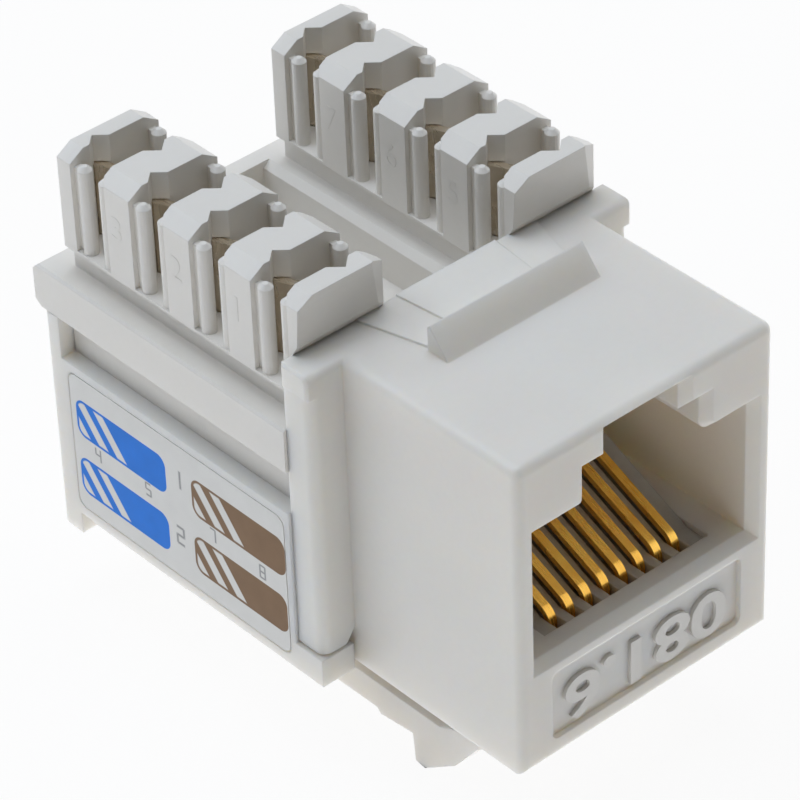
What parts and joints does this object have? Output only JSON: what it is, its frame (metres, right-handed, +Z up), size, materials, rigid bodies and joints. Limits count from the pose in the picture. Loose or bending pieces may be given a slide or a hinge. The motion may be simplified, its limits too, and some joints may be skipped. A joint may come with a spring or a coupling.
{
  "type": "keystone jack",
  "caption": "White modular jack that snaps into a panel: stepped plug socket with sprung contacts in front, two rows of punch-down towers over a trough behind, side labels.",
  "frame": {"origin": "middle of the front face's lower edge, in the plane of the socket mouth", "axes": "+X to the right seen from the front, +Y from the socket mouth to the rear, +Z up to the towers"},
  "size_m": [0.0184, 0.0289, 0.0241],
  "materials": {
    "housing_plastic": "white moulded plastic, soft sheen",
    "carrier_plastic": "off-white moulded plastic",
    "block_plastic": "white moulded plastic, soft sheen",
    "casing_plastic": "white moulded plastic, soft sheen",
    "contact_gold": "gold-plated phosphor bronze, polished",
    "terminal_tin": "tin-plated bronze strip",
    "board_laminate": "green solder mask on glass laminate",
    "label_left_print": "white film printed with blue and brown striped fields",
    "label_right_print": "white film printed with orange and green striped fields"
  },
  "bodies": {
    "jack": {"front_housing": "housing_plastic", "contact_carrier": "carrier_plastic", "contact_1": "contact_gold", "contact_2": "contact_gold", "contact_3": "contact_gold", "contact_4": "contact_gold", "contact_5": "contact_gold", "contact_6": "contact_gold", "contact_7": "contact_gold", "contact_8": "contact_gold", "circuit_board": "board_laminate", "idc_block": "block_plastic", "idc_terminal_1": "terminal_tin", "idc_terminal_2": "terminal_tin", "idc_terminal_3": "terminal_tin", "idc_terminal_4": "terminal_tin", "idc_terminal_5": "terminal_tin", "idc_terminal_6": "terminal_tin", "idc_terminal_7": "terminal_tin", "idc_terminal_8": "terminal_tin", "lower_casing": "casing_plastic", "label_left": "label_left_print", "label_right": "label_right_print"},
    "latch": {"latch_arm": "housing_plastic"}
  },
  "joints": [
    {"name": "latch_flex", "type": "hinge", "parent": "jack", "child": "latch", "pos_m": [0, 0.0027, 0], "axis": [1, 0, 0], "range_deg": [0, 8], "stiffness_Nm_per_rad": 0.6}
  ]
}
